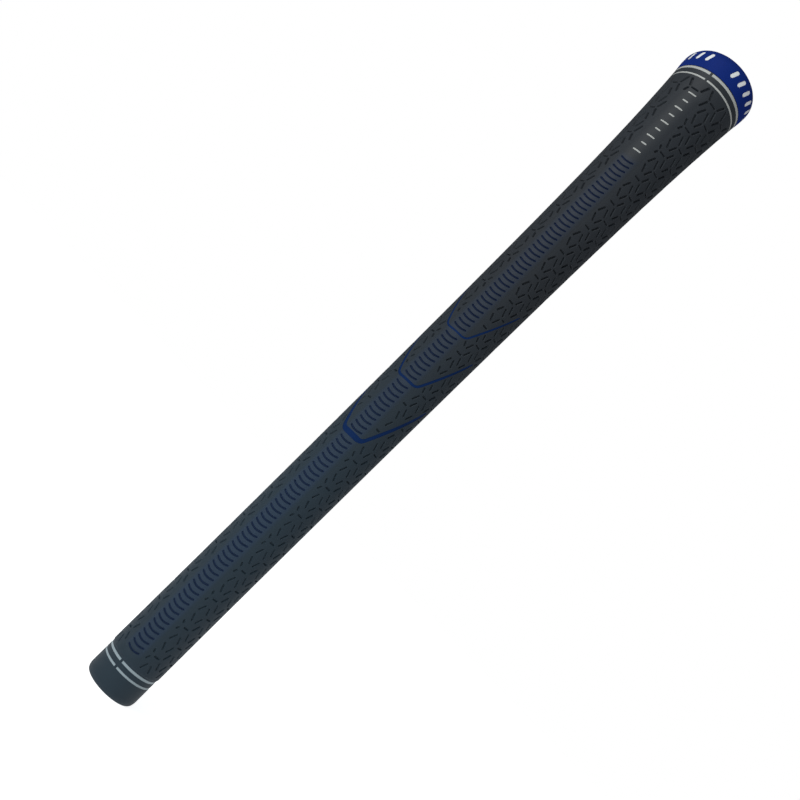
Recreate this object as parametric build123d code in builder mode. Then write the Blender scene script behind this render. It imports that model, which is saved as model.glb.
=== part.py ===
"""Golf grip: a moulded rubber sleeve with a bonded end cap, a firm reminder rib and inlaid colour.

+Z runs along the grip from its mouth, where the shaft enters, to its butt cap. The origin is the
centre of the mouth, and the centreline of the rib faces -Y. All sizes are in millimetres.
"""

import os
from math import cos, degrees, radians, sin, tan

from build123d import *

os.makedirs("parts", exist_ok=True)

# Lengths along the grip
GRIP_LENGTH = 269.6
SLEEVE_LENGTH = 260.0
END_BAND_LENGTH = 10.6
SPIGOT_LENGTH = 5.0
CAP_THICKNESS = 6.2

# Radii
BORE_RADIUS = 7.366  # 0.580 inch core, on a 14.7 mm shaft
END_BAND_RADIUS = 8.73
BODY_RADIUS = 8.93
BODY_FLARE = 2.5
BUTT_FLARE = 1.9
SPIGOT_RADIUS = 10.4
CAP_RADIUS = 13.76
CAP_EDGE_ROUND = 4.4
CAP_CROWN = 0.25
CAP_CROWN_RADIUS = 150.0
VENT_RADIUS = 1.6
VENT_CHAMFER = 0.4

# Mouth
MOUTH_ROUND_RADIAL = 0.75
MOUTH_ROUND_AXIAL = 2.0
LEAD_IN = 0.35
BAND_STEP = 0.3

# Reminder rib
RIB_START = 11.8
RIB_END = 251.4
RIB_HALF_WIDTH = 3.85
RIB_DEPTH = 0.8
RIB_CROWN = 0.2
RIB_AXIS_OFFSETS = (1.4, 2.4)

# Ladder of grooves across the rib, in runs between the chevrons: (height of the first, how many)
GROOVE_RUNS = ((13.65, 45), (101.85, 11), (124.7, 10), (145.65, 40))
GROOVE_PITCH = 1.907
GROOVE_HALF_WIDTH = 2.1
GROOVE_WIDTH = 0.75
GROOVE_SAG = 0.5
GROOVE_DEPTH = 0.5

# Inlaid colour
INLAY_DEPTH = 0.3
CUTTER_REACH = 2.0

# name: (height, width)
RINGS = {
    "ring_mouth_outer": (7.25, 0.7),
    "ring_mouth_inner": (9.45, 0.8),
    "ring_butt_inner": (256.75, 0.65),
    "ring_butt_outer": (259.25, 0.95),
}
RING_GAP = 0.8

# name: (height of the bar, width of the bar, width of the arms, angle round the grip where arms end)
CHEVRONS = {
    "chevron_wide": (100.2, 1.8, 1.05, 82),
    "chevron_middle": (123.2, 0.85, 0.75, 74),
    "chevron_narrow": (144.1, 0.65, 0.6, 72.5),
}
CHEVRON_CORNER = 23.0
CHEVRON_ARM_SLOPE = 25.0

TICK_COUNT = 9
TICK_START = 224.8
TICK_PITCH = 3.2
TICK_WIDTH = 0.55
TICK_LENGTHS = (2.85, 1.9)

CAP_GROUPS = 3
CAP_BARS = 6
CAP_BAR_START = 23.0
CAP_BAR_PITCH = 15.6
CAP_BAR_HEIGHT = 3.4
CAP_BAR_WIDTH = 1.35
CAP_BAR_SLANT = 20.0
CAP_BAR_MIDDLE = 264.2
CAP_BAR_INSET = 0.4

# Angle of the rib about the grip's axis
FRONT = -90.0


def body_radius(height):
    """Outer radius of the sleeve: a slow flare towards the butt, with a quick one at its end."""
    share = height / SLEEVE_LENGTH
    return BODY_RADIUS + BODY_FLARE * share**2 + BUTT_FLARE * share**9


def body_points(inset=0.0):
    """Points of the sleeve's outer line, closer together where it flares."""
    heights = [END_BAND_LENGTH, 40, 80, 120, 155, 185, 210, 228, 242, 252, SLEEVE_LENGTH]
    return [(body_radius(height) - inset, height) for height in heights]


def front_plane(height, distance, turn=0.0):
    """A plane that faces outwards at a height, a distance and an angle round from the rib."""
    angle = radians(FRONT + turn)
    outwards = Vector(cos(angle), sin(angle), 0)
    return Plane(
        origin=outwards * distance + Vector(0, 0, height),
        x_dir=(-sin(angle), cos(angle), 0),
        z_dir=outwards,
    )


def section_plane(turn):
    """The plane through the grip's axis at an angle round from the rib."""
    angle = radians(FRONT + turn)
    return Plane(
        origin=(0, 0, 0),
        x_dir=(cos(angle), sin(angle), 0),
        z_dir=(sin(angle), -cos(angle), 0),
    )


def save(builder, name):
    builder.part.label = name
    export_step(builder.part, f"parts/{name}.step")


# The sleeve before anything is inlaid in it: mouth, end band, body, and the seat of the end cap
with BuildPart() as sleeve_blank:
    with BuildSketch(Plane.XZ):
        with BuildLine():
            outer = Spline(*body_points())
            socket = Polyline(
                outer @ 1,
                (SPIGOT_RADIUS, SLEEVE_LENGTH),
                (SPIGOT_RADIUS, SLEEVE_LENGTH - SPIGOT_LENGTH),
                (BORE_RADIUS, SLEEVE_LENGTH - SPIGOT_LENGTH),
                (BORE_RADIUS, LEAD_IN),
                (BORE_RADIUS + LEAD_IN, 0),
                (END_BAND_RADIUS - MOUTH_ROUND_RADIAL, 0),
            )
            mouth = EllipticalCenterArc(
                (END_BAND_RADIUS - MOUTH_ROUND_RADIAL, MOUTH_ROUND_AXIAL),
                MOUTH_ROUND_RADIAL,
                MOUTH_ROUND_AXIAL,
                start_angle=270,
                arc_size=90,
            )
            Polyline(mouth @ 1, (END_BAND_RADIUS, END_BAND_LENGTH - BAND_STEP), outer @ 0)
        make_face()
    revolve(axis=Axis.Z)

# Everything deeper than the inlaid colour
with BuildPart() as inlay_floor:
    with BuildSketch(Plane.XZ):
        with BuildLine():
            floor_line = Spline(*body_points(INLAY_DEPTH))
            Polyline(
                floor_line @ 1,
                (0, SLEEVE_LENGTH),
                (0, 0),
                (END_BAND_RADIUS - INLAY_DEPTH, 0),
                (END_BAND_RADIUS - INLAY_DEPTH, END_BAND_LENGTH - BAND_STEP),
                floor_line @ 0,
            )
        make_face()
    revolve(axis=Axis.Z)

# The rib before its grooves: a strip with round ends, crowned about an axis nearer to it than the grip's
with BuildPart() as rib_blank:
    near, far = RIB_AXIS_OFFSETS
    crown_axis = Axis(
        origin=(0, -near, END_BAND_LENGTH),
        direction=(0, near - far, SLEEVE_LENGTH - END_BAND_LENGTH),
    )
    with BuildSketch(Plane.YZ):
        with BuildLine():
            crown_line = Spline(*[(-radius, height) for radius, height in body_points(-RIB_CROWN)])
            Polyline(
                crown_line @ 1,
                (-far, SLEEVE_LENGTH),
                (-near, END_BAND_LENGTH),
                crown_line @ 0,
            )
        make_face()
    revolve(axis=crown_axis)
    with BuildSketch(front_plane((RIB_START + RIB_END) / 2, BORE_RADIUS)):
        SlotOverall(RIB_END - RIB_START, 2 * RIB_HALF_WIDTH, rotation=90)
    extrude(amount=CAP_RADIUS, mode=Mode.INTERSECT)
    with BuildSketch(Plane.XZ):
        with BuildLine():
            seat_line = Spline(*body_points(RIB_DEPTH))
            Polyline(seat_line @ 1, (0, SLEEVE_LENGTH), (0, END_BAND_LENGTH), seat_line @ 0)
        make_face()
    revolve(axis=Axis.Z, mode=Mode.SUBTRACT)

with BuildPart() as grip_blank:
    add(sleeve_blank.part)
    add(rib_blank.part)

# The end cap before its marks: a round-edged disc with a spigot, the bore's blind end and a vent
with BuildPart() as cap_blank:
    bore_end = GRIP_LENGTH - CAP_THICKNESS
    round_height = GRIP_LENGTH - CAP_CROWN - CAP_EDGE_ROUND
    cap_foot = body_radius(SLEEVE_LENGTH)
    with BuildSketch(Plane.XZ):
        with BuildLine():
            side = Spline(
                (cap_foot, SLEEVE_LENGTH),
                (CAP_RADIUS, round_height),
                tangents=[(CAP_RADIUS - cap_foot, round_height - SLEEVE_LENGTH), (0, 1)],
            )
            edge = CenterArc(
                (CAP_RADIUS - CAP_EDGE_ROUND, round_height), CAP_EDGE_ROUND, start_angle=0, arc_size=90
            )
            crown = RadiusArc(edge @ 1, (VENT_RADIUS + VENT_CHAMFER, GRIP_LENGTH), -CAP_CROWN_RADIUS)
            Polyline(
                crown @ 1,
                (VENT_RADIUS, GRIP_LENGTH - VENT_CHAMFER),
                (VENT_RADIUS, bore_end),
                (BORE_RADIUS, bore_end),
                (BORE_RADIUS, SLEEVE_LENGTH - SPIGOT_LENGTH),
                (SPIGOT_RADIUS, SLEEVE_LENGTH - SPIGOT_LENGTH),
                (SPIGOT_RADIUS, SLEEVE_LENGTH),
                side @ 0,
            )
        make_face()
    revolve(axis=Axis.Z)

# Pale rings: broken by a short gap at the rib's centreline
inlays = {}
for name, (height, width) in RINGS.items():
    gap = degrees(RING_GAP / body_radius(height))
    with BuildPart() as ring:
        with BuildSketch(section_plane(gap / 2)):
            with Locations((body_radius(height), height)):
                Rectangle(2 * CUTTER_REACH, width)
        revolve(axis=Axis.Z, revolution_arc=360 - gap)
        add(inlay_floor.part, mode=Mode.SUBTRACT)
        add(sleeve_blank.part, mode=Mode.INTERSECT)
    inlays[name] = ring


# Blue chevrons: a bar across the rib, and two arms that wind round the grip towards the butt
for name, (foot, bar_width, arm_width, arm_end) in CHEVRONS.items():
    radius = body_radius(foot)
    turn = arm_end - CHEVRON_CORNER
    rise = radians(turn) * radius / tan(radians(CHEVRON_ARM_SLOPE))
    arm_path = Helix(pitch=rise * 360 / turn, height=rise, radius=radius, center=(0, 0, foot))
    arm_path = arm_path.rotate(Axis.Z, FRONT + CHEVRON_CORNER)
    with BuildPart() as chevron:
        corner = arm_path @ 0
        with BuildSketch(Plane(origin=corner, x_dir=(corner.X, corner.Y, 0), z_dir=arm_path % 0)):
            Rectangle(2 * CUTTER_REACH, arm_width)
        sweep(path=arm_path, is_frenet=True)
        with BuildSketch(front_plane(foot, radius - CUTTER_REACH, CHEVRON_CORNER)):
            Circle((bar_width + arm_width) / 4)
        extrude(amount=2 * CUTTER_REACH)
        mirror(about=Plane.YZ)
        with BuildSketch(section_plane(-CHEVRON_CORNER)):
            with Locations((radius, foot)):
                Rectangle(2 * CUTTER_REACH, bar_width)
        revolve(axis=Axis.Z, revolution_arc=2 * CHEVRON_CORNER)
        add(inlay_floor.part, mode=Mode.SUBTRACT)
        add(grip_blank.part, mode=Mode.INTERSECT)
    inlays[name] = chevron

# Pale ticks: a row along the rib, long and short in turn
with BuildPart() as alignment_ticks:
    for index in range(TICK_COUNT):
        tick_height = TICK_START + index * TICK_PITCH
        with BuildSketch(front_plane(tick_height, BORE_RADIUS)):
            SlotOverall(TICK_LENGTHS[index % 2], TICK_WIDTH)
    extrude(amount=CAP_RADIUS)
    add(inlay_floor.part, mode=Mode.SUBTRACT)
    add(grip_blank.part, mode=Mode.INTERSECT)
inlays["alignment_ticks"] = alignment_ticks

# The rib: its blank, less the ladder of grooves and the inlays that cross it
with BuildPart() as reminder_rib:
    add(rib_blank.part)
    groove_line = ThreePointArc((-GROOVE_HALF_WIDTH, GROOVE_SAG), (0, 0), (GROOVE_HALF_WIDTH, GROOVE_SAG))
    for first, count in GROOVE_RUNS:
        for index in range(count):
            height = first + index * GROOVE_PITCH
            groove_floor = body_radius(height) + RIB_CROWN - GROOVE_DEPTH
            with BuildSketch(front_plane(height, groove_floor)):
                SlotArc(groove_line, GROOVE_WIDTH)
    extrude(amount=CUTTER_REACH, mode=Mode.SUBTRACT)
    for inlay in inlays.values():
        add(inlay.part, mode=Mode.SUBTRACT)
save(reminder_rib, "reminder_rib")

# The sleeve: its blank, less the rib and the inlays
with BuildPart() as sleeve:
    add(sleeve_blank.part)
    add(rib_blank.part, mode=Mode.SUBTRACT)
    for inlay in inlays.values():
        add(inlay.part, mode=Mode.SUBTRACT)
save(sleeve, "sleeve")

# White bars: groups of slanted bars round the side of the cap
with BuildPart() as cap_bars:
    for group in range(CAP_GROUPS):
        for index in range(CAP_BARS):
            turn = group * 360 / CAP_GROUPS + CAP_BAR_START + index * CAP_BAR_PITCH
            with BuildSketch(front_plane(CAP_BAR_MIDDLE, BORE_RADIUS, turn)):
                SlotOverall(CAP_BAR_HEIGHT, CAP_BAR_WIDTH, rotation=90 - CAP_BAR_SLANT)
    extrude(amount=CAP_RADIUS)
    with BuildSketch(Plane.XY.offset(SLEEVE_LENGTH)):
        Circle(CAP_RADIUS - CAP_BAR_INSET)
    extrude(amount=CAP_THICKNESS, mode=Mode.SUBTRACT)
    add(cap_blank.part, mode=Mode.INTERSECT)

with BuildPart() as end_cap:
    add(cap_blank.part)
    add(cap_bars.part, mode=Mode.SUBTRACT)
save(end_cap, "end_cap")
save(cap_bars, "cap_bars")
for name, inlay in inlays.items():
    save(inlay, name)
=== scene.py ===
"""Golf grip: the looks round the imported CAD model.

The frame is the CAD's: +Z runs from the mouth to the butt cap and the rib's centreline faces -Y.
Shapes are worked out in millimetres on unrolled skins of the grip, as (across, along) points, and are
turned into metres when they become meshes. Across is the angle round from the rib times UNROLL.
"""

from math import ceil, cos, pi, radians, sin, tan

import bpy
import numpy as np
from mathutils import Matrix, Vector
from mathutils.geometry import delaunay_2d_cdt


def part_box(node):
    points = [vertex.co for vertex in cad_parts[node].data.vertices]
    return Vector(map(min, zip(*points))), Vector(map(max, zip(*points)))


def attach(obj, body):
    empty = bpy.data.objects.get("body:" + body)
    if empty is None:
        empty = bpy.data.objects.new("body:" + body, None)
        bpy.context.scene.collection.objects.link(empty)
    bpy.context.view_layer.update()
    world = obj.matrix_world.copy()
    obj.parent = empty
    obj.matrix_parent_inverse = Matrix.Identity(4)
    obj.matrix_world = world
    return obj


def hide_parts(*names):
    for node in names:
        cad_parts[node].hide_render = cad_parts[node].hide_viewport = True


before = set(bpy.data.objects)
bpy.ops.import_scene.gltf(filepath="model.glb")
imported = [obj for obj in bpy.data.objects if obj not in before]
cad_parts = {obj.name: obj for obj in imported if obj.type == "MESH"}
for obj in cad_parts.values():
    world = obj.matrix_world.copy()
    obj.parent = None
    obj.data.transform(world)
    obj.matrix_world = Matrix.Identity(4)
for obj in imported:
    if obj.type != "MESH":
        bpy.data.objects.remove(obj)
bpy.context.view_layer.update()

MM = 0.001


def node_span(node):
    """Lowest and highest z of a CAD node, in millimetres."""
    low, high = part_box(node)
    return low[2] / MM, high[2] / MM


# Sizes from the frame
SLEEVE_LENGTH = node_span("sleeve")[1]
GRIP_LENGTH = node_span("end_cap")[1]
SPIGOT_FOOT = node_span("end_cap")[0]
RIB_START, RIB_END = node_span("reminder_rib")
CAP_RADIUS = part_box("end_cap")[1][0] / MM
RIB_HALF_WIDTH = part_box("reminder_rib")[1][0] / MM

# Sleeve profile
BORE_RADIUS = 7.366
END_BAND_RADIUS = 8.73
END_BAND_LENGTH = 10.6
BAND_STEP = 0.3
BODY_RADIUS = 8.93
BODY_FLARE = 2.5
BODY_FLARE_POWER = 2
BUTT_FLARE = 1.9
BUTT_FLARE_POWER = 9
MOUTH_ROUND_RADIAL = 0.75
MOUTH_ROUND_AXIAL = 2.0
LEAD_IN = 0.35
SPIGOT_RADIUS = 10.4
UNROLL = BODY_RADIUS

# Cap profile
CAP_EDGE_ROUND = 4.4
CAP_CROWN = 0.25
CAP_THICKNESS = 6.2
VENT_RADIUS = 1.6
VENT_CHAMFER = 0.4

# Rib, with a ladder of grooves across it and a plain panel from PANEL_START on
RIB_CROWN = 0.2
RIB_DEPTH = 0.8
PANEL_START = 221.6
# Runs of grooves between the chevrons: (height of the first, how many)
GROOVE_RUNS = ((13.65, 45), (101.85, 11), (124.7, 10), (145.65, 40))
GROOVE_PITCH = 1.907
GROOVE_HALF_WIDTH = 2.1
GROOVE_WIDTH = 0.75
GROOVE_SAG = 0.5
GROOVE_DEPTH = 0.38

# Inlaid colour
INLAY_DEPTH = 0.3
INLAY_SINK = 0.07
RING_GAP = 0.8
RING_NODES = ("ring_mouth_outer", "ring_mouth_inner", "ring_butt_inner", "ring_butt_outer")

# Node: (height of the bar, width of the bar, width of the arms, degrees round the grip where arms end)
CHEVRONS = {
    "chevron_wide": (100.2, 1.8, 1.05, 82),
    "chevron_middle": (123.2, 0.85, 0.75, 74),
    "chevron_narrow": (144.1, 0.65, 0.6, 72.5),
}
CHEVRON_CORNER = 23.0
CHEVRON_SLOPE = 25.0
CORNER_ROUND = 1.5
CHEVRON_TIP_SHARE = 0.6

# Ticks on the rib's panel: long and short ones in turn, from TICK_START towards the butt
TICK_COUNT = 9
TICK_START = 224.8
TICK_PITCH = 3.2
TICK_WIDTH = 0.55
TICK_LENGTHS = (2.85, 1.9)

# Groups of slanted bars round the cap. The start, the pitch and the slant are in degrees
CAP_GROUPS = 3
CAP_BARS = 6
CAP_BAR_START = 23.0
CAP_BAR_PITCH = 15.6
CAP_BAR_HEIGHT = 3.4
CAP_BAR_WIDTH = 1.35
CAP_BAR_SLANT = 20.0
CAP_BAR_MIDDLE = 264.2

# Dash texture
# Bands between the chevrons: (rows round the grip, degrees from the rib to a row)
TEXTURE_BANDS = ((16, 43.5), (18, 29.5), (20, 33.4), (20, 33.7))
TEXTURE_PERIOD = 11.22
TEXTURE_PHASE = 5.45
TEXTURE_FOOT = 11.4
TEXTURE_TOP = 255.4
DASH_WIDTH = 0.72
# The dashes get deeper between two heights
DASH_DEPTHS = (0.36, 0.62)
DASH_DEPTH_HEIGHTS = (60, 180)
CROSS_DASH_LENGTH = 1.4
SLANT_DASH_LENGTH = 2.0
SLANT_DASH_ANGLE = 22.0
SLANT_DASH_SHARE = 0.68
SLANT_DASH_ALONG = 1.8
DASH_MARGIN = 0.2

# Mesh. The sleeve's skin is cut open at a seam, SEAM_TURN degrees round from the rib. The cap's seam
# is shifted, so that it runs between two groups of bars
SEAM_TURN = 168.75
CAP_SEAM_SHIFT = 70
COLUMN_COUNT = 144
BACKGROUND_STEP = 1.6
BACKGROUND_RIB_ROOM = 0.2
BACKGROUND_DASH_ROOM = 0.3
CAP_STEP = 0.8
RING_STEP = 0.45
RIB_EDGE_ROOM = 0.2
RIB_END_ROOM = 1.5
RIB_EDGE_OFFSETS = (-3.5, -3.0, 3.0, 3.5)
PANEL_OFFSETS = (-2.2, -1.5, -0.75, 0, 0.75, 1.5, 2.2)
ROUND_END = (-60, -30, 0, 30, 60)
SLOT_RIM = 0.1
SLOT_RIM_SHARE = 0.22
SLOT_FOOT = 0.26
JOINT_ROUND = 0.15
WELD_STEP = 2e-4
CUT_SNAP = 1e-5
NORMAL_NUDGE = 0.02

# Degrees between faces: steep ones leave the skin's own normal, and soft or smooth ones share one
STEEP_TURN = 32
SOFT_TURN = 50
SMOOTH_TURN = 40

# Finishes. The colours change between the first two heights below, from a painted cooler light at the
# mouth to a painted neutral light at the butt. The ladder's strip gets a painted bluish sheen, full near
# the rib's centreline, fading out to the sides and fading in between the rib's start and the sheen's top
PAINTED_LIGHT_START = 60
PAINTED_LIGHT_END = 180
LADDER_SHEEN_FULL = 2.2
LADDER_SHEEN_NONE = 3.7
LADDER_SHEEN_TOP = 17
PANEL_FADE = 1
CLOUD_SCALE = 60.0
GRAIN_DEPTH = 0.00006
ROUGHNESS_SPREAD = 0.06
MOTTLE = 0.1

# Stage, in metres
FLOOR_REACH = 4.0
SKY_COLOUR = (0.86, 0.94, 1.0)
SKY_STRENGTH = 0.22
FLOOR_SHADE = (0.9, 0.9, 0.9)
FLOOR_GLOW = 0.85
# Name: (place, height aimed at, size, power, colour)
LIGHTS = {
    "key": ((-0.27, -0.57, 0.62), 0.19, 0.16, 3.6, (1.0, 0.98, 0.95)),
    "fill": ((-0.1, -0.5, 0.06), 0.02, 0.3, 0.5, (0.45, 0.85, 1.0)),
}
CAMERA_DISTANCE = 0.2652
CAMERA_HEIGHT = 0.0841
CAMERA_SIDESTEP = 0.00018
CAMERA_TURN = 17.5
CAMERA_TILT = 7.42
CAMERA_ROLL = 45.4
CAMERA_LENS = 39.23
CAMERA_SENSOR = 36
CAMERA_CLIP = 0.01


# ---- Skins: surfaces of revolution with a height along them ----


def body_radius(height):
    share = np.asarray(height, float) / SLEEVE_LENGTH
    return BODY_RADIUS + BODY_FLARE * share**BODY_FLARE_POWER + BUTT_FLARE * share**BUTT_FLARE_POWER


def sleeve_radius(height):
    """Outer radius of the sleeve: the plain end band at the mouth, a small step, then the body."""
    height = np.asarray(height, float)
    step = np.clip((height - END_BAND_LENGTH + BAND_STEP) / BAND_STEP, 0, 1)
    return END_BAND_RADIUS + (body_radius(height) - END_BAND_RADIUS) * step


def front_offset(across, height):
    """Distance from the rib's centreline, seen square on."""
    return sleeve_radius(height) * np.sin(np.asarray(across, float) / UNROLL)


def rib_rise(across, height):
    """How far the rib stands proud of the sleeve."""
    share = front_offset(across, height) / RIB_HALF_WIDTH
    facing = np.abs(np.asarray(across, float)) < UNROLL * pi / 2
    middle = (np.asarray(height, float) > RIB_START) & (np.asarray(height, float) < RIB_END)
    start = np.clip((height - RIB_START) / RIB_HALF_WIDTH, 0, 1)
    end = np.clip((RIB_END - height) / RIB_HALF_WIDTH, 0, 1)
    ends = (1 - (1 - start) ** 2) * (1 - (1 - end) ** 2)
    return np.where(facing & middle, RIB_CROWN * np.clip(1 - share**2, 0, 1) * ends, 0)


class Skin:
    """A surface of revolution about the grip's axis, reached by (across, along, depth)."""

    def __init__(self, profile, rise=None):
        """profile: (along, radius, height) rows. rise: extra radius as a function of across and along."""
        self.along, self.radius, self.height = np.array(profile, float).T
        self.slope_r = np.gradient(self.radius, self.along)
        self.slope_h = np.gradient(self.height, self.along)
        self.rise = rise

    def place(self, points, depth):
        across, along = points[:, 0], points[:, 1]
        radius = np.interp(along, self.along, self.radius)
        height = np.interp(along, self.along, self.height)
        slope_r = np.interp(along, self.along, self.slope_r)
        slope_h = np.interp(along, self.along, self.slope_h)
        length = np.hypot(slope_r, slope_h)
        if self.rise:
            radius = radius + self.rise(across, along)
        radius = radius - depth * slope_h / length
        height = height + depth * slope_r / length
        angle = across / UNROLL
        return np.stack([radius * np.sin(angle), -radius * np.cos(angle), height], axis=1)

    def normals(self, points, depth):
        here = self.place(points, depth)
        east = self.place(points + (NORMAL_NUDGE, 0), depth) - here
        north = self.place(points + (0, NORMAL_NUDGE), depth) - here
        cross = np.cross(east, north)
        return cross / np.linalg.norm(cross, axis=1, keepdims=True)


def sleeve_profile():
    heights = np.concatenate(
        [
            [0, END_BAND_LENGTH - BAND_STEP, END_BAND_LENGTH],
            np.arange(END_BAND_LENGTH + 1, SLEEVE_LENGTH, 1.0),
            [SLEEVE_LENGTH],
        ]
    )
    return [(height, sleeve_radius(height), height) for height in heights]


def cap_profile():
    """The cap's outside from its foot over the rounded edge, with its length along the line first."""
    foot = float(body_radius(SLEEVE_LENGTH))
    round_height = GRIP_LENGTH - CAP_CROWN - CAP_EDGE_ROUND
    line = []
    for share in np.linspace(0, 1, 14):
        radius = foot + (CAP_RADIUS - foot) * sin(share * pi / 2)
        line.append((radius, SLEEVE_LENGTH + (round_height - SLEEVE_LENGTH) * share))
    for turn in np.linspace(0, pi / 2, 19)[1:]:
        radius = CAP_RADIUS - CAP_EDGE_ROUND * (1 - cos(turn))
        line.append((radius, round_height + CAP_EDGE_ROUND * sin(turn)))
    line = np.array(line)
    along = np.concatenate([[0], np.cumsum(np.hypot(*np.diff(line, axis=0).T))])
    return np.column_stack([along, line])


SLEEVE_SKIN = Skin(sleeve_profile())
RIB_SKIN = Skin(sleeve_profile(), rise=rib_rise)
CAP_SKIN = Skin(cap_profile())


# ---- Outlines on the unrolled skins ----


def across_of(offset, height):
    """Where a distance from the rib's centreline, seen square on, falls across the unrolled skin."""
    return UNROLL * np.arcsin(np.asarray(offset, float) / sleeve_radius(height))


def divide(outline, step):
    """The closed outline with each side cut into lengths of about step."""
    points = []
    for start, end in zip(outline, outline[1:] + outline[:1]):
        start, end = np.array(start, float), np.array(end, float)
        count = max(1, ceil(np.linalg.norm(end - start) / step))
        points += [tuple(start + (end - start) * k / count) for k in range(count)]
    return points


def anticlockwise(outline):
    x, y = np.array(outline).T
    area = np.dot(x, np.roll(y, -1)) - np.dot(y, np.roll(x, -1))
    return list(outline) if area > 0 else list(outline)[::-1]


def slot_ring(path, half_width, inset=0.0, cap_turns=(-45, 0, 45)):
    """A closed ring round a path, with round ends. half_width is one number or one for each point."""
    path = np.array(path, float)
    widths = np.broadcast_to(np.asarray(half_width, float), len(path)) - inset
    tangents = np.gradient(path, axis=0)
    tangents /= np.linalg.norm(tangents, axis=1, keepdims=True)
    lefts = np.column_stack([-tangents[:, 1], tangents[:, 0]])
    right_side = path - lefts * widths[:, None]
    left_side = path + lefts * widths[:, None]

    def cap(index, forward):
        middle, width = path[index], widths[index]
        out = tangents[index] * forward
        side = lefts[index] * forward
        turns = [radians(turn) for turn in cap_turns]
        return [middle + width * (out * cos(turn) + side * sin(turn)) for turn in turns]

    start, end = cap(0, -1), cap(-1, 1)
    tip = len(start) // 2
    ring = start[tip:] + list(right_side) + end + list(left_side[::-1]) + start[:tip]
    return [tuple(point) for point in ring]


def rib_outline():
    """The rib's plan: a long strip with round ends, as seen square on."""
    straight_start, straight_end = RIB_START + RIB_HALF_WIDTH, RIB_END - RIB_HALF_WIDTH
    heights = np.linspace(straight_start, straight_end, 130)
    right = [(RIB_HALF_WIDTH, height) for height in heights]
    turns = np.linspace(0, pi, 17)[1:-1]
    top = [
        (RIB_HALF_WIDTH * cos(turn), straight_end + RIB_HALF_WIDTH * sin(turn)) for turn in turns
    ]
    left = [(-offset, height) for offset, height in right[::-1]]
    foot = [
        (-RIB_HALF_WIDTH * cos(turn), straight_start - RIB_HALF_WIDTH * sin(turn)) for turn in turns
    ]
    return [(float(across_of(offset, height)), height) for offset, height in right + top + left + foot]


FULL_TURN = 2 * pi * UNROLL
SEAM = radians(SEAM_TURN) * UNROLL


def chevron_line(node, across):
    """Height of a chevron's middle line, carried level round the back from its arms' ends."""
    foot, _, _, arm_end = CHEVRONS[node]
    slope = UNROLL / float(body_radius(foot)) * tan(radians(CHEVRON_SLOPE))
    away = np.abs((np.asarray(across) + FULL_TURN / 2) % FULL_TURN - FULL_TURN / 2)
    corner, end = radians(CHEVRON_CORNER) * UNROLL, radians(arm_end) * UNROLL
    return foot + (np.clip(away, corner, end) - corner) / slope


def chevron_path(node):
    """The middle line of a chevron from one arm's end to the other's, with its half widths."""
    foot, bar_width, arm_width, arm_end = CHEVRONS[node]
    stretch = UNROLL / float(body_radius(foot))
    corner = radians(CHEVRON_CORNER) * UNROLL
    slope = stretch * tan(radians(CHEVRON_SLOPE))
    end = radians(arm_end) * UNROLL
    right = []
    for share in np.linspace(0, 1, 6):
        # A quadratic bend from the bar into the arm
        before = np.array((corner - CORNER_ROUND * (1 - share), 0))
        after = np.array((corner + CORNER_ROUND * slope * share, CORNER_ROUND * share))
        point = before + (after - before) * share
        right.append((point[0], foot + point[1], bar_width + (arm_width - bar_width) * share))
    last = right[-1][0]
    for across in np.linspace(last, end, 16)[1:]:
        right.append((across, foot + (across - corner) / slope, arm_width))
    bar = [(across, foot, bar_width) for across in np.linspace(0, corner - CORNER_ROUND, 6)[:-1]]
    half = bar + right
    whole = [(-across, height, width) for across, height, width in half[:0:-1]] + half
    path = [(across, height) for across, height, _ in whole]
    widths = [width / 2 for _, _, width in whole]
    widths[0] = widths[-1] = widths[0] * CHEVRON_TIP_SHARE
    return path, widths


def chevron_outline(node):
    path, widths = chevron_path(node)
    return slot_ring(path, widths)


def ring_outline(node):
    """The long band of a ring fill, which stops short of the rib's centreline on both sides."""
    low, high = node_span(node)
    gap = RING_GAP / 2 * UNROLL / float(sleeve_radius(low))
    end = FULL_TURN - gap
    return divide([(gap, low), (end, low), (end, high), (gap, high)], RING_STEP)


def tick_outlines():
    outlines = []
    for index in range(TICK_COUNT):
        height = TICK_START + index * TICK_PITCH
        reach = (TICK_LENGTHS[index % 2] - TICK_WIDTH) / 2
        path = [(float(across_of(offset, height)), height) for offset in (-reach, 0, reach)]
        outlines.append(slot_ring(path, TICK_WIDTH / 2, cap_turns=ROUND_END))
    return outlines


def cap_bar_outlines():
    """The bars of the group beside the rib, and of the groups that follow it back round the cap."""
    outlines = []
    middle = float(np.interp(CAP_BAR_MIDDLE, CAP_SKIN.height, CAP_SKIN.along))
    reach = (CAP_BAR_HEIGHT - CAP_BAR_WIDTH) / 2
    lean = np.array((sin(radians(CAP_BAR_SLANT)), cos(radians(CAP_BAR_SLANT)))) * reach
    ring = slot_ring([-lean, (0, 0), lean], CAP_BAR_WIDTH / 2, cap_turns=ROUND_END)
    squeeze = UNROLL / CAP_RADIUS
    for group in range(CAP_GROUPS):
        for index in range(CAP_BARS):
            turn = CAP_BAR_START + index * CAP_BAR_PITCH - group * 360 / CAP_GROUPS
            across = radians(turn) * UNROLL
            outlines.append([(across + x * squeeze, middle + y) for x, y in ring])
    return outlines


# ---- The dash texture ----


def inside_rib(across, height, margin):
    """Whether a point is within margin of the rib's strip."""
    if abs(across) > UNROLL * pi / 2:
        return False
    straight_start, straight_end = RIB_START + RIB_HALF_WIDTH, RIB_END - RIB_HALF_WIDTH
    beyond = height - min(max(height, straight_start), straight_end)
    return np.hypot(front_offset(across, height), beyond) < RIB_HALF_WIDTH + margin


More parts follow.
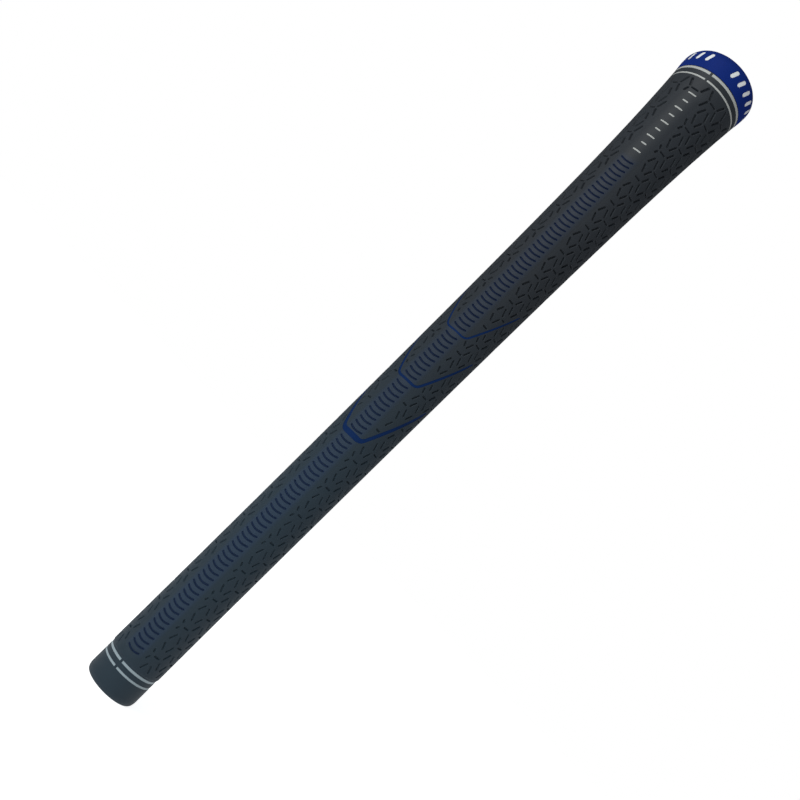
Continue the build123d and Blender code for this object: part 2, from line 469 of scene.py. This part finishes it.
def chevron_guard():
    """Points along every chevron's middle line, each with the radius that a dash keeps clear of."""
    guard = []
    for node in CHEVRONS:
        path, widths = chevron_path(node)
        for start, end, width in zip(path, path[1:], widths):
            for share in (0, 0.34, 0.67):
                point = np.array(start) + (np.array(end) - np.array(start)) * share
                guard.append((point[0], point[1], width + DASH_WIDTH / 2 + DASH_MARGIN))
    return np.array(guard)


def clear_run(start, end, band, guard):
    """The longest stretch of a dash in its band that is clear of the rib, the chevrons and the seam."""
    points = start + (end - start) * np.linspace(0, 1, 23)[:, None]
    across, heights = points.T
    room = DASH_WIDTH / 2 + DASH_MARGIN
    clear = (heights > TEXTURE_FOOT) & (heights < TEXTURE_TOP)
    clear &= (across > room - SEAM) & (across < FULL_TURN - SEAM - room)
    for index, node in enumerate(CHEVRONS):
        beyond = heights - chevron_line(node, across)
        clear &= (beyond if index < band else -beyond) > room
    away = np.hypot(*(points[:, None] - guard[None, :, :2]).transpose(2, 0, 1)) - guard[:, 2]
    clear &= away.min(axis=1) > 0
    clear &= [not inside_rib(x, y, room - DASH_MARGIN / 2) for x, y in points]
    best, run = (0, 0), None
    for index, is_clear in enumerate(clear):
        run = (run if run is not None else index) if is_clear else None
        if run is not None and index - run > best[1] - best[0]:
            best = (run, index)
    return points[best[0]], points[best[1]]


def dash_lines():
    """Middle lines of all the dashes: one across and four slanted round each point of the lattice."""
    guard = chevron_guard()
    slant = radians(SLANT_DASH_ANGLE)
    lines = []
    for band, (rows, turn) in enumerate(TEXTURE_BANDS):
        spacing = FULL_TURN / rows
        motif = [((0, 0), (CROSS_DASH_LENGTH / 2, 0))]
        for side in (-1, 1):
            for end in (-1, 1):
                place = (side * SLANT_DASH_SHARE * spacing, end * SLANT_DASH_ALONG)
                reach = (side * end * sin(slant), cos(slant))
                motif.append((place, np.array(reach) * SLANT_DASH_LENGTH / 2))
        for row in range(rows):
            stagger = TEXTURE_PERIOD / 2 * (row % 2)
            for step in range(-1, ceil(SLEEVE_LENGTH / TEXTURE_PERIOD) + 1):
                height = TEXTURE_PHASE + stagger + step * TEXTURE_PERIOD
                middle = np.array((radians(turn) * UNROLL + row * spacing, height))
                stretch = np.array((1, float(body_radius(height)) / UNROLL))
                for place, reach in motif:
                    centre = middle + place
                    centre[0] = (centre[0] + SEAM) % FULL_TURN - SEAM
                    reach = reach * stretch
                    start, end = clear_run(centre - reach, centre + reach, band, guard)
                    if np.linalg.norm(end - start) > DASH_WIDTH:
                        lines.append((start, end))
    return lines


# ---- Meshes ----


class Shell:
    """Gathers faces with a normal for each corner, then welds them into one mesh."""

    def __init__(self):
        self.points, self.normals, self.faces, self.finish = [], [], [], []
        self.count = 0

    def add(self, points, normals, faces, finish=0):
        self.points.append(points)
        self.normals.append(normals)
        self.faces += [tuple(corner + self.count for corner in face) for face in faces]
        self.finish += [finish] * len(faces)
        self.count += len(points)

    def add_skin(self, skin, points, depth, faces, finish=0, under=False):
        points = np.array(points, float)
        depth = np.broadcast_to(np.asarray(depth, float), len(points))
        normals = skin.normals(points, depth) * (-1 if under else 1)
        self.add(skin.place(points, depth), normals, faces, finish)

    def mesh(self, name, materials):
        points, normals = np.concatenate(self.points), np.concatenate(self.normals)
        _, first, welded = np.unique(
            np.round(points / WELD_STEP).astype(np.int64), axis=0, return_index=True, return_inverse=True
        )
        welded = welded.reshape(-1)
        faces, corners, finish = [], [], []
        for face, index in zip(self.faces, self.finish):
            kept = [c for k, c in enumerate(face) if welded[c] != welded[face[k - 1]]]
            if len(kept) > 2:
                faces.append([int(welded[c]) for c in kept])
                corners += kept
                finish.append(index)
        used, renumbered = np.unique(np.concatenate(faces), return_inverse=True)
        renumbered = iter(renumbered.reshape(-1).tolist())
        faces = [[next(renumbered) for _ in face] for face in faces]
        data = bpy.data.meshes.new(name)
        data.from_pydata((points[first[used]] * MM).tolist(), [], faces)
        data.polygons.foreach_set("use_smooth", [True] * len(faces))
        data.polygons.foreach_set("material_index", finish)
        for material in materials:
            data.materials.append(material)
        data.normals_split_custom_set(self.corner_normals(data, normals[corners]).tolist())
        piece = bpy.data.objects.new(name, data)
        bpy.context.collection.objects.link(piece)
        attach(piece, "root")
        return piece

    @staticmethod
    def corner_normals(data, wanted):
        """The skin's own normal on faces that follow it, and a shared one among steep faces."""
        loops = len(data.loops)
        vertex = np.empty(loops, int)
        data.loops.foreach_get("vertex_index", vertex)
        sizes = np.empty(len(data.polygons), int)
        data.polygons.foreach_get("loop_total", sizes)
        flat = np.empty(len(data.polygons) * 3)
        data.polygons.foreach_get("normal", flat)
        flat = np.repeat(flat.reshape(-1, 3), sizes, axis=0)
        areas = np.empty(len(data.polygons))
        data.polygons.foreach_get("area", areas)
        areas = np.repeat(areas, sizes)
        steep = np.einsum("ij,ij->i", flat, wanted) < cos(radians(STEEP_TURN))
        shared = np.zeros((len(data.vertices), 3))
        np.add.at(shared, vertex[steep], flat[steep] * areas[steep, None])
        shared = shared[vertex]
        shared /= np.maximum(np.linalg.norm(shared, axis=1, keepdims=True), 1e-12)
        soft = steep & (np.einsum("ij,ij->i", shared, flat) > cos(radians(SOFT_TURN)))
        result = np.where(steep[:, None], flat, wanted)
        return np.where(soft[:, None], shared, result)


def triangulate(outline, pockets, loose, rows=()):
    """Triangles inside an outline, cut along the pockets' edges.

    Returns the points, the triangles and, for each triangle, the numbers of the pockets that hold it.
    """
    shapes = [anticlockwise(outline)] + [anticlockwise(pocket) for pocket in pockets]
    points, faces, edges = [], [], []
    for shape in shapes:
        faces.append(list(range(len(points), len(points) + len(shape))))
        points += shape
    for row in rows:
        edges += [(len(points) + k, len(points) + k + 1) for k in range(len(row) - 1)]
        points += row
    points += loose
    cut = delaunay_2d_cdt([Vector(point) for point in points], edges, faces, 1, CUT_SNAP, True)
    points, _, faces, _, _, shapes_held = cut
    triangles = [
        (face, {owner - 1 for owner in owners if owner > 0})
        for face, owners in zip(faces, shapes_held)
        if 0 in owners
    ]
    return np.array([tuple(point) for point in points]), triangles


def carve(shell, skin, outline, pockets=(), depths=(), slots=(), loose=(), rows=(), top=0.0, back=None):
    """Adds a skin inside an outline, with pockets sunk to their depths and slots cut in it.

    Each slot is a list of rings, each ring as (points, depth, finish), from the rim to the floor.
    With a back depth the skin becomes a closed slab that reaches down to it.
    """
    rims = [rings[0][0] for rings in slots]
    points, triangles = triangulate(outline, list(pockets) + rims, list(loose), rows)
    by_depth, edge_depth, slot_edges = {}, {}, set()
    for face, owners in triangles:
        edges = [(start, face[(k + 1) % 3]) for k, start in enumerate(face)]
        if any(owner >= len(pockets) for owner in owners):
            slot_edges.update(edges)
            continue
        depth = max([depths[owner] for owner in owners], default=top)
        by_depth.setdefault(depth, []).append(face)
        edge_depth.update(dict.fromkeys(edges, depth))
    for depth, faces in by_depth.items():
        shell.add_skin(skin, points, depth, faces)
    walls = {}
    for (start, end), depth in edge_depth.items():
        other = edge_depth.get((end, start), None if (end, start) in slot_edges else back)
        if other is not None and depth < other:
            walls.setdefault((depth, other), []).append((start, end))
    for (high, low), edges in walls.items():
        ends, count = np.array(edges), len(edges)
        corners = np.concatenate([points[ends[:, 1]], points[ends[:, 0]]] * 2)
        levels = np.repeat([high, low], count * 2)
        quads = [(k, count + k, 3 * count + k, 2 * count + k) for k in range(count)]
        shell.add_skin(skin, corners, levels, quads)
    if back is not None:
        shell.add_skin(skin, points, back, [face[::-1] for face, _ in triangles], under=True)
    for rings in slots:
        add_slot(shell, skin, rings)


def add_slot(shell, skin, rings):
    """A sunk slot: a strip of faces between each ring and the next, and a floor across the last."""
    size = len(rings[0][0])
    points = [point for ring, _, _ in rings for point in ring]
    depths = np.repeat([depth for _, depth, _ in rings], size)
    for level, (_, _, finish) in enumerate(rings[1:], start=1):
        outer, inner = (level - 1) * size, level * size
        turns = [(k, (k + 1) % size) for k in range(size)]
        faces = [(outer + k, outer + after, inner + after, inner + k) for k, after in turns]
        if inner == (len(rings) - 1) * size:
            for k in range(size // 2):
                quad = (k, k + 1, size - k - 1, (size - k) % size)
                faces.append(tuple(dict.fromkeys(inner + corner for corner in quad)))
        shell.add_skin(skin, points, depths, faces, finish)


def slot_rings(path, half_width, depth, floor_finish=0):
    """Rings of a slot with a soft rim, for add_slot."""
    return [
        (slot_ring(path, half_width), 0.0, 0),
        (slot_ring(path, half_width, SLOT_RIM), depth * SLOT_RIM_SHARE, 0),
        (slot_ring(path, half_width, SLOT_FOOT), depth, floor_finish),
    ]


def turned(shell, line, columns):
    """A turned surface from (radius, height) points, with its outside to the right of the line."""
    line, angles = np.array(line, float), np.array(columns) / UNROLL
    count = len(angles)
    steps = np.diff(line, axis=0)
    outs = np.column_stack([steps[:, 1], -steps[:, 0]])
    outs /= np.linalg.norm(outs, axis=1, keepdims=True)

    def ring(point, out):
        spin = np.stack([np.sin(angles), -np.cos(angles)], 1)
        heights, rises = np.full((count, 1), point[1]), np.full((count, 1), out[1])
        return np.hstack([spin * point[0], heights]), np.hstack([spin * out[0], rises])

    quads = [(k, k + 1, count + k + 1, count + k) for k in range(count - 1)]
    for k, out in enumerate(outs):
        sides = []
        for near in (max(k - 1, 0), min(k + 1, len(outs) - 1)):
            shared = out + outs[near] if out @ outs[near] > cos(radians(SMOOTH_TURN)) else out
            sides.append(shared / np.linalg.norm(shared))
        (low, low_normals), (high, high_normals) = ring(line[k], sides[0]), ring(line[k + 1], sides[1])
        shell.add(np.concatenate([low, high]), np.concatenate([low_normals, high_normals]), quads)


# ---- Materials ----


def add_node(tree, kind, inputs=None, **settings):
    """A shader node with its settings, its constant inputs and its incoming links."""
    node = tree.nodes.new(kind)
    for name, value in settings.items():
        setattr(node, name, value)
    for name, value in (inputs or {}).items():
        if isinstance(value, bpy.types.NodeSocket):
            tree.links.new(value, node.inputs[name])
        else:
            node.inputs[name].default_value = value
    return node


def math_node(tree, operation, *values):
    return add_node(tree, "ShaderNodeMath", dict(enumerate(values)), operation=operation).outputs[0]


def map_range(tree, inputs, interpolation_type="LINEAR"):
    node = add_node(tree, "ShaderNodeMapRange", inputs, interpolation_type=interpolation_type)
    return node.outputs["Result"]


def smooth_step(tree, value, low, high):
    """0 at low, 1 at high, given in millimetres, and a smooth change between them."""
    return map_range(tree, {"Value": value, "From Min": low * MM, "From Max": high * MM}, "SMOOTHSTEP")


def blend(tree, factor, first, second, blend_type="MIX"):
    inputs = {"Fac": factor, "Color1": first, "Color2": second}
    return add_node(tree, "ShaderNodeMixRGB", inputs, blend_type=blend_type).outputs["Color"]


def outside_ladder_sheen(tree, axes):
    """0 in the strip that the ladder of grooves lies in, where the bluish sheen is painted, and 1 beside
    it and past its ends.
    """
    beside = smooth_step(tree, math_node(tree, "ABSOLUTE", axes["X"]), LADDER_SHEEN_FULL, LADDER_SHEEN_NONE)
    beyond = smooth_step(tree, axes["Z"], PANEL_START - PANEL_FADE, PANEL_START + PANEL_FADE)
    before = smooth_step(tree, axes["Z"], LADDER_SHEEN_TOP, RIB_START)
    return math_node(tree, "MAXIMUM", beside, math_node(tree, "MAXIMUM", before, beyond))


def base_tone(tree, axes, colour, painted_light_butt_colour, ladder_sheen):
    """The plain colour, or one that fades to another at the butt, a painted change from a cooler light at
    the mouth to a neutral one, with the ladder's two colours of painted bluish sheen if given.
    """
    tone = (*colour, 1)
    if painted_light_butt_colour:
        # Painted light: cooler at the mouth, fading to neutral towards the butt
        painted_light_shift = smooth_step(tree, axes["Z"], PAINTED_LIGHT_START, PAINTED_LIGHT_END)
        tone = blend(tree, painted_light_shift, tone, (*painted_light_butt_colour, 1))
    if ladder_sheen:
        # Painted bluish sheen on the ladder's strip
        sheen_tone = blend(tree, painted_light_shift, (*ladder_sheen[0], 1), (*ladder_sheen[1], 1))
        tone = blend(tree, outside_ladder_sheen(tree, axes), sheen_tone, tone)
    return tone


def material(name, colour, roughness, grain, bump, specular=0.2, painted_light_butt_colour=None, ladder_sheen=None):
    """A moulded finish: fine grain in the surface, and slow and quick changes of shade in the colour."""
    made = bpy.data.materials.new(name)
    made.use_nodes = True
    tree = made.node_tree
    shader = tree.nodes["Principled BSDF"]
    shader.inputs["Specular IOR Level"].default_value = specular
    place = add_node(tree, "ShaderNodeTexCoord").outputs["Object"]
    axes = add_node(tree, "ShaderNodeSeparateXYZ", {"Vector": place}).outputs
    cloud = add_node(tree, "ShaderNodeTexNoise", {"Vector": place, "Scale": CLOUD_SCALE, "Detail": 6.0})
    speck = add_node(tree, "ShaderNodeTexNoise", {"Vector": place, "Scale": grain, "Detail": 4.0})
    cloud, speck = cloud.outputs["Fac"], speck.outputs["Fac"]
    tone = base_tone(tree, axes, colour, painted_light_butt_colour, ladder_sheen)
    level = {"Value": math_node(tree, "ADD", cloud, speck), "From Min": 0.5, "From Max": 1.5}
    level.update({"To Min": 1 - MOTTLE, "To Max": 1 + MOTTLE})
    shade = blend(tree, 1.0, tone, map_range(tree, level), "MULTIPLY")
    spread = {"To Min": roughness - ROUGHNESS_SPREAD, "To Max": roughness + ROUGHNESS_SPREAD}
    dent = add_node(tree, "ShaderNodeBump", {"Height": speck, "Strength": bump, "Distance": GRAIN_DEPTH})
    tree.links.new(shade, shader.inputs["Base Color"])
    tree.links.new(map_range(tree, {"Value": speck, **spread}), shader.inputs["Roughness"])
    tree.links.new(dent.outputs["Normal"], shader.inputs["Normal"])
    return made


# Colours that change along the grip are pairs, for the mouth and the butt. The change between each pair
# is painted light: a cooler light at the mouth and a neutral one at the butt
SLEEVE_COLOURS = (0.0130, 0.0240, 0.0345), (0.0150, 0.0176, 0.0218)
# The ladder's pair is the rubber with a painted bluish sheen on it
LADDER_SHEEN_COLOURS = (0.0135, 0.0265, 0.0480), (0.0145, 0.0195, 0.0300)
PAINT_COLOURS = (0.0105, 0.0210, 0.0520), (0.005, 0.011, 0.034)
PALE_COLOURS = (0.240, 0.285, 0.310), (0.290, 0.292, 0.280)
CAP_COLOUR = (0.004, 0.015, 0.112)
BLUE_COLOUR = (0.003, 0.015, 0.062)
WHITE_COLOUR = (0.52, 0.52, 0.52)
RUBBER_GRAIN, CAP_GRAIN, FILL_GRAIN = 5200, 4200, 3800


def sleeve_rubber():
    mouth, butt = SLEEVE_COLOURS
    return material("sleeve_rubber", mouth, 0.62, RUBBER_GRAIN, 0.3, painted_light_butt_colour=butt)


def rib_rubber():
    mouth, butt = SLEEVE_COLOURS
    return material("rib_rubber", mouth, 0.6, RUBBER_GRAIN, 0.25, painted_light_butt_colour=butt, ladder_sheen=LADDER_SHEEN_COLOURS)


def groove_paint():
    mouth, butt = PAINT_COLOURS
    return material("groove_paint", mouth, 0.6, CAP_GRAIN, 0.2, specular=0.1, painted_light_butt_colour=butt)


def pale_fill():
    mouth, butt = PALE_COLOURS
    return material("pale_fill", mouth, 0.5, FILL_GRAIN, 0.2, painted_light_butt_colour=butt)


SLEEVE_RUBBER = sleeve_rubber()
RIB_RUBBER = rib_rubber()
CAP_RUBBER = material("cap_rubber", CAP_COLOUR, 0.6, CAP_GRAIN, 0.1, specular=0.03)
GROOVE_PAINT = groove_paint()
BLUE_FILL = material("blue_fill", BLUE_COLOUR, 0.6, FILL_GRAIN, 0.2, specular=0.05)
PALE_FILL = pale_fill()
WHITE_FILL = material("white_fill", WHITE_COLOUR, 0.5, FILL_GRAIN, 0.2)


# ---- Pieces ----

COLUMNS = np.linspace(-SEAM, FULL_TURN - SEAM, COLUMN_COUNT + 1)
CAP_COLUMNS = COLUMNS - radians(CAP_SEAM_SHIFT) * UNROLL


def band_outline(low, high, heights, columns):
    """The outline of a skin unrolled from the seam all the way round to it again."""
    foot = [(across, low) for across in columns]
    right = [(columns[-1], height) for height in heights]
    top = [(across, high) for across in columns[::-1]]
    left = [(columns[0], height) for height in heights[::-1]]
    return foot + right + top + left


def background(lines, foot, top):
    """Points that keep the plain skin round: a grid, less what falls on a dash or under the rib."""
    starts, ends = np.array([line[0] for line in lines]), np.array([line[1] for line in lines])
    spans = ends - starts
    lengths = np.einsum("ij,ij->i", spans, spans)
    points = []
    for row, height in enumerate(np.arange(foot + BACKGROUND_STEP, top - 0.5, BACKGROUND_STEP)):
        for across in COLUMNS[1 + row % 2 : -1 : 2]:
            if inside_rib(across, height, BACKGROUND_RIB_ROOM):
                continue
            share = np.einsum("ij,ij->i", (across, height) - starts, spans) / lengths
            nearest = starts + spans * np.clip(share, 0, 1)[:, None]
            gap = np.hypot(nearest[:, 0] - across, nearest[:, 1] - height).min()
            if gap > DASH_WIDTH / 2 + BACKGROUND_DASH_ROOM:
                points.append((across, height))
    return points


def sleeve_slots(lines):
    """The dashes' recesses, which get deeper towards the butt."""
    slots = []
    for line in lines:
        depth = float(np.interp(line[0][1], DASH_DEPTH_HEIGHTS, DASH_DEPTHS))
        slots.append(slot_rings(line, DASH_WIDTH / 2, depth))
    return slots


def sleeve_inside(top):
    """The turned rest of the sleeve: the seat and socket for the cap, the bore and the round mouth."""
    butt = float(sleeve_radius(top))
    mouth = [
        (END_BAND_RADIUS - MOUTH_ROUND_RADIAL * (1 - sin(turn)), MOUTH_ROUND_AXIAL * (1 - cos(turn)))
        for turn in np.linspace(0, pi / 2, 11)
    ]
    return [
        (butt, top),
        (butt - JOINT_ROUND, SLEEVE_LENGTH),
        (SPIGOT_RADIUS, SLEEVE_LENGTH),
        (SPIGOT_RADIUS, SPIGOT_FOOT),
        (BORE_RADIUS, SPIGOT_FOOT),
        (BORE_RADIUS, LEAD_IN),
        (BORE_RADIUS + LEAD_IN, 0),
        *mouth,
    ]


def make_sleeve():
    shell = Shell()
    foot, top = MOUTH_ROUND_AXIAL, SLEEVE_LENGTH - JOINT_ROUND
    steps = [END_BAND_LENGTH - BAND_STEP, END_BAND_LENGTH]
    heights = steps + list(np.arange(END_BAND_LENGTH + BACKGROUND_STEP, top - 1, BACKGROUND_STEP))
    rings = [ring_outline(node) for node in RING_NODES]
    rings += [[(across - FULL_TURN, height) for across, height in ring] for ring in rings]
    chevrons = [chevron_outline(node) for node in CHEVRONS]
    lines = dash_lines()
    loose = background(lines, foot, top)
    rows = [[(across, height) for across in COLUMNS] for height in steps]
    pockets = rings + chevrons + [rib_outline()]
    depths = [INLAY_DEPTH] * (len(rings) + len(chevrons)) + [RIB_DEPTH]
    outline = band_outline(foot, top, heights, COLUMNS)
    carve(shell, SLEEVE_SKIN, outline, pockets, depths, sleeve_slots(lines), loose, rows)
    turned(shell, sleeve_inside(top), COLUMNS)
    sleeve = shell.mesh("grip_sleeve", [SLEEVE_RUBBER])
    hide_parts("sleeve")


def groove_path(height):
    """A groove of the ladder: a shallow arc whose ends lean towards the butt."""
    path = []
    for share in np.linspace(-1, 1, 9):
        along = height + GROOVE_SAG * share**2
        path.append((float(across_of(GROOVE_HALF_WIDTH * share, along)), along))
    return path


def rib_background(ladder_end):
    """Points that keep the rib's skin round: beside the ladder, and all over the panel beyond it."""
    points = []
    for height in np.arange(RIB_START + 1, RIB_END - 1, GROOVE_PITCH / 2):
        straight = RIB_START + RIB_HALF_WIDTH <= height <= RIB_END - RIB_HALF_WIDTH
        room = RIB_HALF_WIDTH - RIB_EDGE_ROOM if straight else RIB_END_ROOM
        offsets = RIB_EDGE_OFFSETS + (PANEL_OFFSETS if height > ladder_end else ())
        near = [offset for offset in offsets if abs(offset) < room]
        points += [(float(across_of(offset, height)), height) for offset in near]
    return points


def make_rib():
    shell = Shell()
    heights = [first + k * GROOVE_PITCH for first, count in GROOVE_RUNS for k in range(count)]
    grooves = [groove_path(height) for height in heights]
    slots = [slot_rings(path, GROOVE_WIDTH / 2, GROOVE_DEPTH, floor_finish=1) for path in grooves]
    pockets = [chevron_outline(node) for node in CHEVRONS] + tick_outlines()
    depths = [INLAY_DEPTH] * len(pockets)
    loose = rib_background(heights[-1] + GROOVE_PITCH)
    carve(shell, RIB_SKIN, rib_outline(), pockets, depths, slots, loose, back=RIB_DEPTH)
    rib = shell.mesh("grip_rib", [RIB_RUBBER, GROOVE_PAINT])
    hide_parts("reminder_rib")


def make_inlay(name, node, skin, outlines, finish):
    """A colour fill: slabs in their pockets, sunk a little below the rubber round them."""
    shell = Shell()
    for outline in outlines:
        carve(shell, skin, outline, top=INLAY_SINK, back=INLAY_DEPTH)
    piece = shell.mesh(name, [finish])
    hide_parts(node)


def cap_inside(foot, length):
    """The turned rest of the cap: the crown, the vent, the end of the bore, the spigot and the seat."""
    base, rim = CAP_SKIN.place(np.array([(0.0, foot), (0.0, length)]), 0.0)
    crown = []
    for share in np.linspace(0, 1, 7):
        radius = -rim[1] + (VENT_RADIUS + VENT_CHAMFER + rim[1]) * share
        crown.append((radius, GRIP_LENGTH - CAP_CROWN * (1 - sin(share * pi / 2))))
    bore_end = GRIP_LENGTH - CAP_THICKNESS
    return [
        *crown,
        (VENT_RADIUS, GRIP_LENGTH - VENT_CHAMFER),
        (VENT_RADIUS, bore_end),
        (BORE_RADIUS, bore_end),
        (BORE_RADIUS, SPIGOT_FOOT),
        (SPIGOT_RADIUS, SPIGOT_FOOT),
        (SPIGOT_RADIUS, SLEEVE_LENGTH),
        (-base[1] - JOINT_ROUND, SLEEVE_LENGTH),
        (-base[1], base[2]),
    ]


def make_cap():
    shell = Shell()
    pockets = cap_bar_outlines()
    depths = [INLAY_DEPTH] * len(pockets)
    foot, length = 2 * JOINT_ROUND, CAP_SKIN.along[-1]
    heights = list(np.arange(foot, length, CAP_STEP))[1:-1]
    loose = [(across, height) for height in heights for across in CAP_COLUMNS[1:-1]]
    outline = band_outline(foot, length, heights, CAP_COLUMNS)
    carve(shell, CAP_SKIN, outline, pockets, depths, loose=loose)
    turned(shell, cap_inside(foot, length), CAP_COLUMNS)
    cap = shell.mesh("grip_end_cap", [CAP_RUBBER])
    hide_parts("end_cap")


# ---- Stage ----


def make_floor():
    """A plain pale floor that glows a little, so that it meets the white all round without an edge."""
    paint = bpy.data.materials.new("floor_paint")
    paint.use_nodes = True
    shader = paint.node_tree.nodes["Principled BSDF"]
    shader.inputs["Base Color"].default_value = (*FLOOR_SHADE, 1)
    shader.inputs["Roughness"].default_value = 1.0
    shader.inputs["Specular IOR Level"].default_value = 0.0
    shader.inputs["Emission Color"].default_value = (1, 1, 1, 1)
    shader.inputs["Emission Strength"].default_value = FLOOR_GLOW
    data = bpy.data.meshes.new("floor")
    corners = [(-1, -1), (1, -1), (1, 1), (-1, 1)]
    data.from_pydata([(x * FLOOR_REACH, y * FLOOR_REACH, 0) for x, y in corners], [], [(0, 1, 2, 3)])
    data.materials.append(paint)
    floor = bpy.data.objects.new("floor", data)
    bpy.context.collection.objects.link(floor)


def make_light(name, place, target, size, power, colour):
    """A round soft light, aimed at a height on the grip's axis."""
    data = bpy.data.lights.new(name, "AREA")
    data.shape, data.size, data.energy, data.color = "DISK", size, power, colour
    light = bpy.data.objects.new(name, data)
    light.location = place
    light.rotation_euler = (Vector((0, 0, target)) - Vector(place)).to_track_quat("-Z", "Y").to_euler()
    bpy.context.collection.objects.link(light)


def make_world():
    """White all round to the camera, and a softer, cooler white as a light."""
    world = bpy.data.worlds.new("studio")
    world.use_nodes = True
    nodes, links = world.node_tree.nodes, world.node_tree.links
    nodes["Background"].inputs["Color"].default_value = (*SKY_COLOUR, 1)
    nodes["Background"].inputs["Strength"].default_value = SKY_STRENGTH
    white = nodes.new("ShaderNodeBackground")
    white.inputs["Color"].default_value = (1, 1, 1, 1)
    seen = nodes.new("ShaderNodeLightPath")
    mix = nodes.new("ShaderNodeMixShader")
    links.new(seen.outputs["Is Camera Ray"], mix.inputs["Fac"])
    links.new(nodes["Background"].outputs[0], mix.inputs[1])
    links.new(white.outputs[0], mix.inputs[2])
    links.new(mix.outputs[0], nodes["World Output"].inputs["Surface"])
    bpy.context.scene.world = world


def make_camera():
    """A camera in front of the grip's lower third, turned round it, tilted up at it and rolled."""
    turn, tilt, roll = radians(CAMERA_TURN), radians(CAMERA_TILT), radians(CAMERA_ROLL)
    forward = Vector((-sin(turn) * cos(tilt), cos(turn) * cos(tilt), sin(tilt)))
    along = Vector((sin(turn) * sin(tilt), -cos(turn) * sin(tilt), cos(tilt)))
    aside = forward.cross(along)
    right = along * sin(roll) + aside * cos(roll)
    up = along * cos(roll) - aside * sin(roll)
    data = bpy.data.cameras.new("camera")
    data.sensor_width, data.lens, data.clip_start = CAMERA_SENSOR, CAMERA_LENS, CAMERA_CLIP
    camera = bpy.data.objects.new("camera", data)
    place = Vector((sin(turn), -cos(turn), 0)) * CAMERA_DISTANCE + Vector((0, 0, CAMERA_HEIGHT))
    place += aside * CAMERA_SIDESTEP
    camera.matrix_world = Matrix.Translation(place) @ Matrix((right, up, -forward)).transposed().to_4x4()
    bpy.context.collection.objects.link(camera)
    bpy.context.scene.camera = camera


make_sleeve()
make_rib()
for node in CHEVRONS:
    make_inlay(f"{node}_fill", node, RIB_SKIN, [chevron_outline(node)], BLUE_FILL)
for node in RING_NODES:
    make_inlay(f"{node}_fill", node, SLEEVE_SKIN, [ring_outline(node)], PALE_FILL)
make_inlay("alignment_tick_fills", "alignment_ticks", RIB_SKIN, tick_outlines(), PALE_FILL)
make_cap()
make_inlay("cap_bar_fills", "cap_bars", CAP_SKIN, cap_bar_outlines(), WHITE_FILL)

make_floor()
make_world()
for name, settings in LIGHTS.items():
    make_light(name, *settings)
make_camera()
bpy.context.scene.view_settings.view_transform = "Standard"
